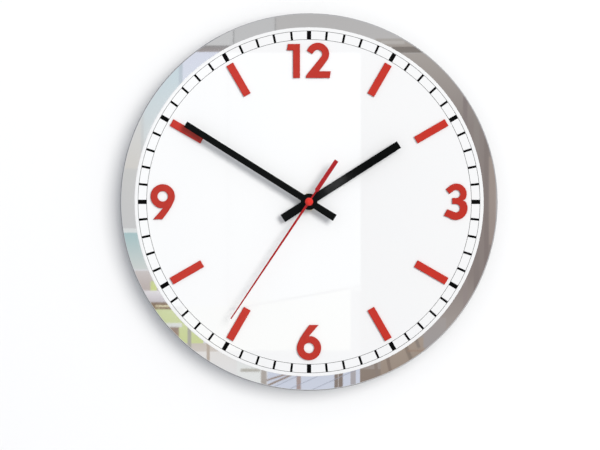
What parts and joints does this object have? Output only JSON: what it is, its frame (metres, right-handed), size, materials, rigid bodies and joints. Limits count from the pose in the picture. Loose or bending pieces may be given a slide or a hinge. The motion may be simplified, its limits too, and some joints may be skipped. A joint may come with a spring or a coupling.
{
  "type": "wall clock",
  "caption": "Round wall clock, 30 cm, with a mirrored rim, white dial, raised red hour marks, three hands and a quartz movement behind.",
  "frame": {"origin": "where the axis of the hands meets the flat back of the movement, which rests on the wall", "axes": "+Z towards 12 o'clock, +Y into the wall, the dial faces -Y, +X towards 3 o'clock seen from the front"},
  "size_m": [0.3, 0.0366, 0.3],
  "materials": {
    "mirror": "polished mirrored acrylic",
    "white_acrylic": "gloss white acrylic",
    "red_acrylic": "gloss red acrylic, laser cut",
    "black_hands": "aluminium sheet painted satin black",
    "red_paint": "aluminium sheet painted satin red",
    "red_cap": "bright red moulded plastic",
    "black_plastic": "black moulded ABS, fine texture",
    "white_plastic": "natural acetal moulding",
    "bobbin_plastic": "cream moulded plastic",
    "copper_wire": "enamelled copper wire",
    "stator_steel": "stamped soft iron",
    "plated_steel": "nickel plated spring steel",
    "brass": "turned brass",
    "rubber": "soft black rubber",
    "board": "green solder resist on glass fibre",
    "chip_resin": "black moulding resin",
    "magnet": "sintered magnet, grey",
    "cell_can": "printed film over a steel can"
  },
  "bodies": {
    "clock_body": {"mirror_plate": "mirror", "dial_disc": "white_acrylic", "hour_bar_01": "red_acrylic", "hour_bar_02": "red_acrylic", "hour_bar_04": "red_acrylic", "hour_bar_05": "red_acrylic", "hour_bar_07": "red_acrylic", "hour_bar_08": "red_acrylic", "hour_bar_10": "red_acrylic", "hour_bar_11": "red_acrylic", "numeral_1": "red_acrylic", "numeral_2": "red_acrylic", "numeral_3": "red_acrylic", "numeral_6": "red_acrylic", "numeral_9": "red_acrylic", "movement_case": "black_plastic", "rear_cover": "black_plastic", "hanging_loop": "black_plastic", "threaded_post": "brass", "rubber_gasket": "rubber", "dial_washer": "brass", "dial_nut": "brass", "gear_bridge": "white_plastic", "stator_left": "stator_steel", "stator_right": "stator_steel", "coil_core": "stator_steel", "coil_bobbin": "bobbin_plastic", "coil_winding": "copper_wire", "circuit_board": "board", "timing_chip": "chip_resin", "quartz_crystal": "plated_steel", "positive_contact": "plated_steel", "negative_contact": "plated_steel"},
    "seconds_arbor": {"seconds_wheel": "white_plastic", "second_hand": "red_paint", "second_hand_cap": "red_cap"},
    "minute_arbor": {"centre_wheel": "white_plastic", "minute_pipe": "brass", "minute_hand": "black_hands", "hand_nut": "brass"},
    "hour_pipe": {"hour_wheel": "white_plastic", "hour_hand": "black_hands"},
    "third_gear": {"third_wheel": "white_plastic"},
    "intermediate_gear": {"intermediate_wheel": "white_plastic"},
    "rotor": {"rotor_pinion": "white_plastic", "rotor_magnet": "magnet"},
    "motion_gear": {"motion_wheel": "white_plastic"},
    "setting_stem": {"setting_pinion": "white_plastic", "setting_knob": "black_plastic"},
    "battery": {"aa_cell": "cell_can"}
  },
  "joints": [
    {"name": "seconds_spin", "type": "hinge", "parent": "clock_body", "child": "seconds_arbor", "pos_m": [0, 0, 0], "axis": [0, 1, 0], "continuous": true},
    {"name": "minute_spin", "type": "hinge", "parent": "clock_body", "child": "minute_arbor", "pos_m": [0, 0, 0], "axis": [0, 1, 0], "continuous": true},
    {"name": "hour_spin", "type": "hinge", "parent": "clock_body", "child": "hour_pipe", "pos_m": [0, 0, 0], "axis": [0, 1, 0], "continuous": true},
    {"name": "third_spin", "type": "hinge", "parent": "clock_body", "child": "third_gear", "pos_m": [-0.00799, 0, 0.0029], "axis": [0, 1, 0], "continuous": true},
    {"name": "intermediate_spin", "type": "hinge", "parent": "clock_body", "child": "intermediate_gear", "pos_m": [-0.00152, 0, 0.00862], "axis": [0, 1, 0], "continuous": true},
    {"name": "rotor_spin", "type": "hinge", "parent": "clock_body", "child": "rotor", "pos_m": [0.00208, 0, 0.01485], "axis": [0, 1, 0], "continuous": true},
    {"name": "motion_spin", "type": "hinge", "parent": "clock_body", "child": "motion_gear", "pos_m": [0.00727, 0, 0.0042], "axis": [0, 1, 0], "continuous": true},
    {"name": "setting_spin", "type": "hinge", "parent": "clock_body", "child": "setting_stem", "pos_m": [0.01516, 0, 0.00707], "axis": [0, 1, 0], "continuous": true},
    {"name": "battery_slide", "type": "slide", "parent": "clock_body", "child": "battery", "axis": [0, 1, 0], "range_m": [0, 0.02]}
  ],
  "couplings": [
    {"joint": "minute_spin", "follows": "seconds_spin", "ratio": 0.016667},
    {"joint": "hour_spin", "follows": "seconds_spin", "ratio": 0.0013889},
    {"joint": "third_spin", "follows": "seconds_spin", "ratio": -0.13333},
    {"joint": "intermediate_spin", "follows": "seconds_spin", "ratio": -6},
    {"joint": "rotor_spin", "follows": "seconds_spin", "ratio": 30},
    {"joint": "motion_spin", "follows": "seconds_spin", "ratio": -0.0055556},
    {"joint": "setting_spin", "follows": "seconds_spin", "ratio": 0.016667}
  ]
}
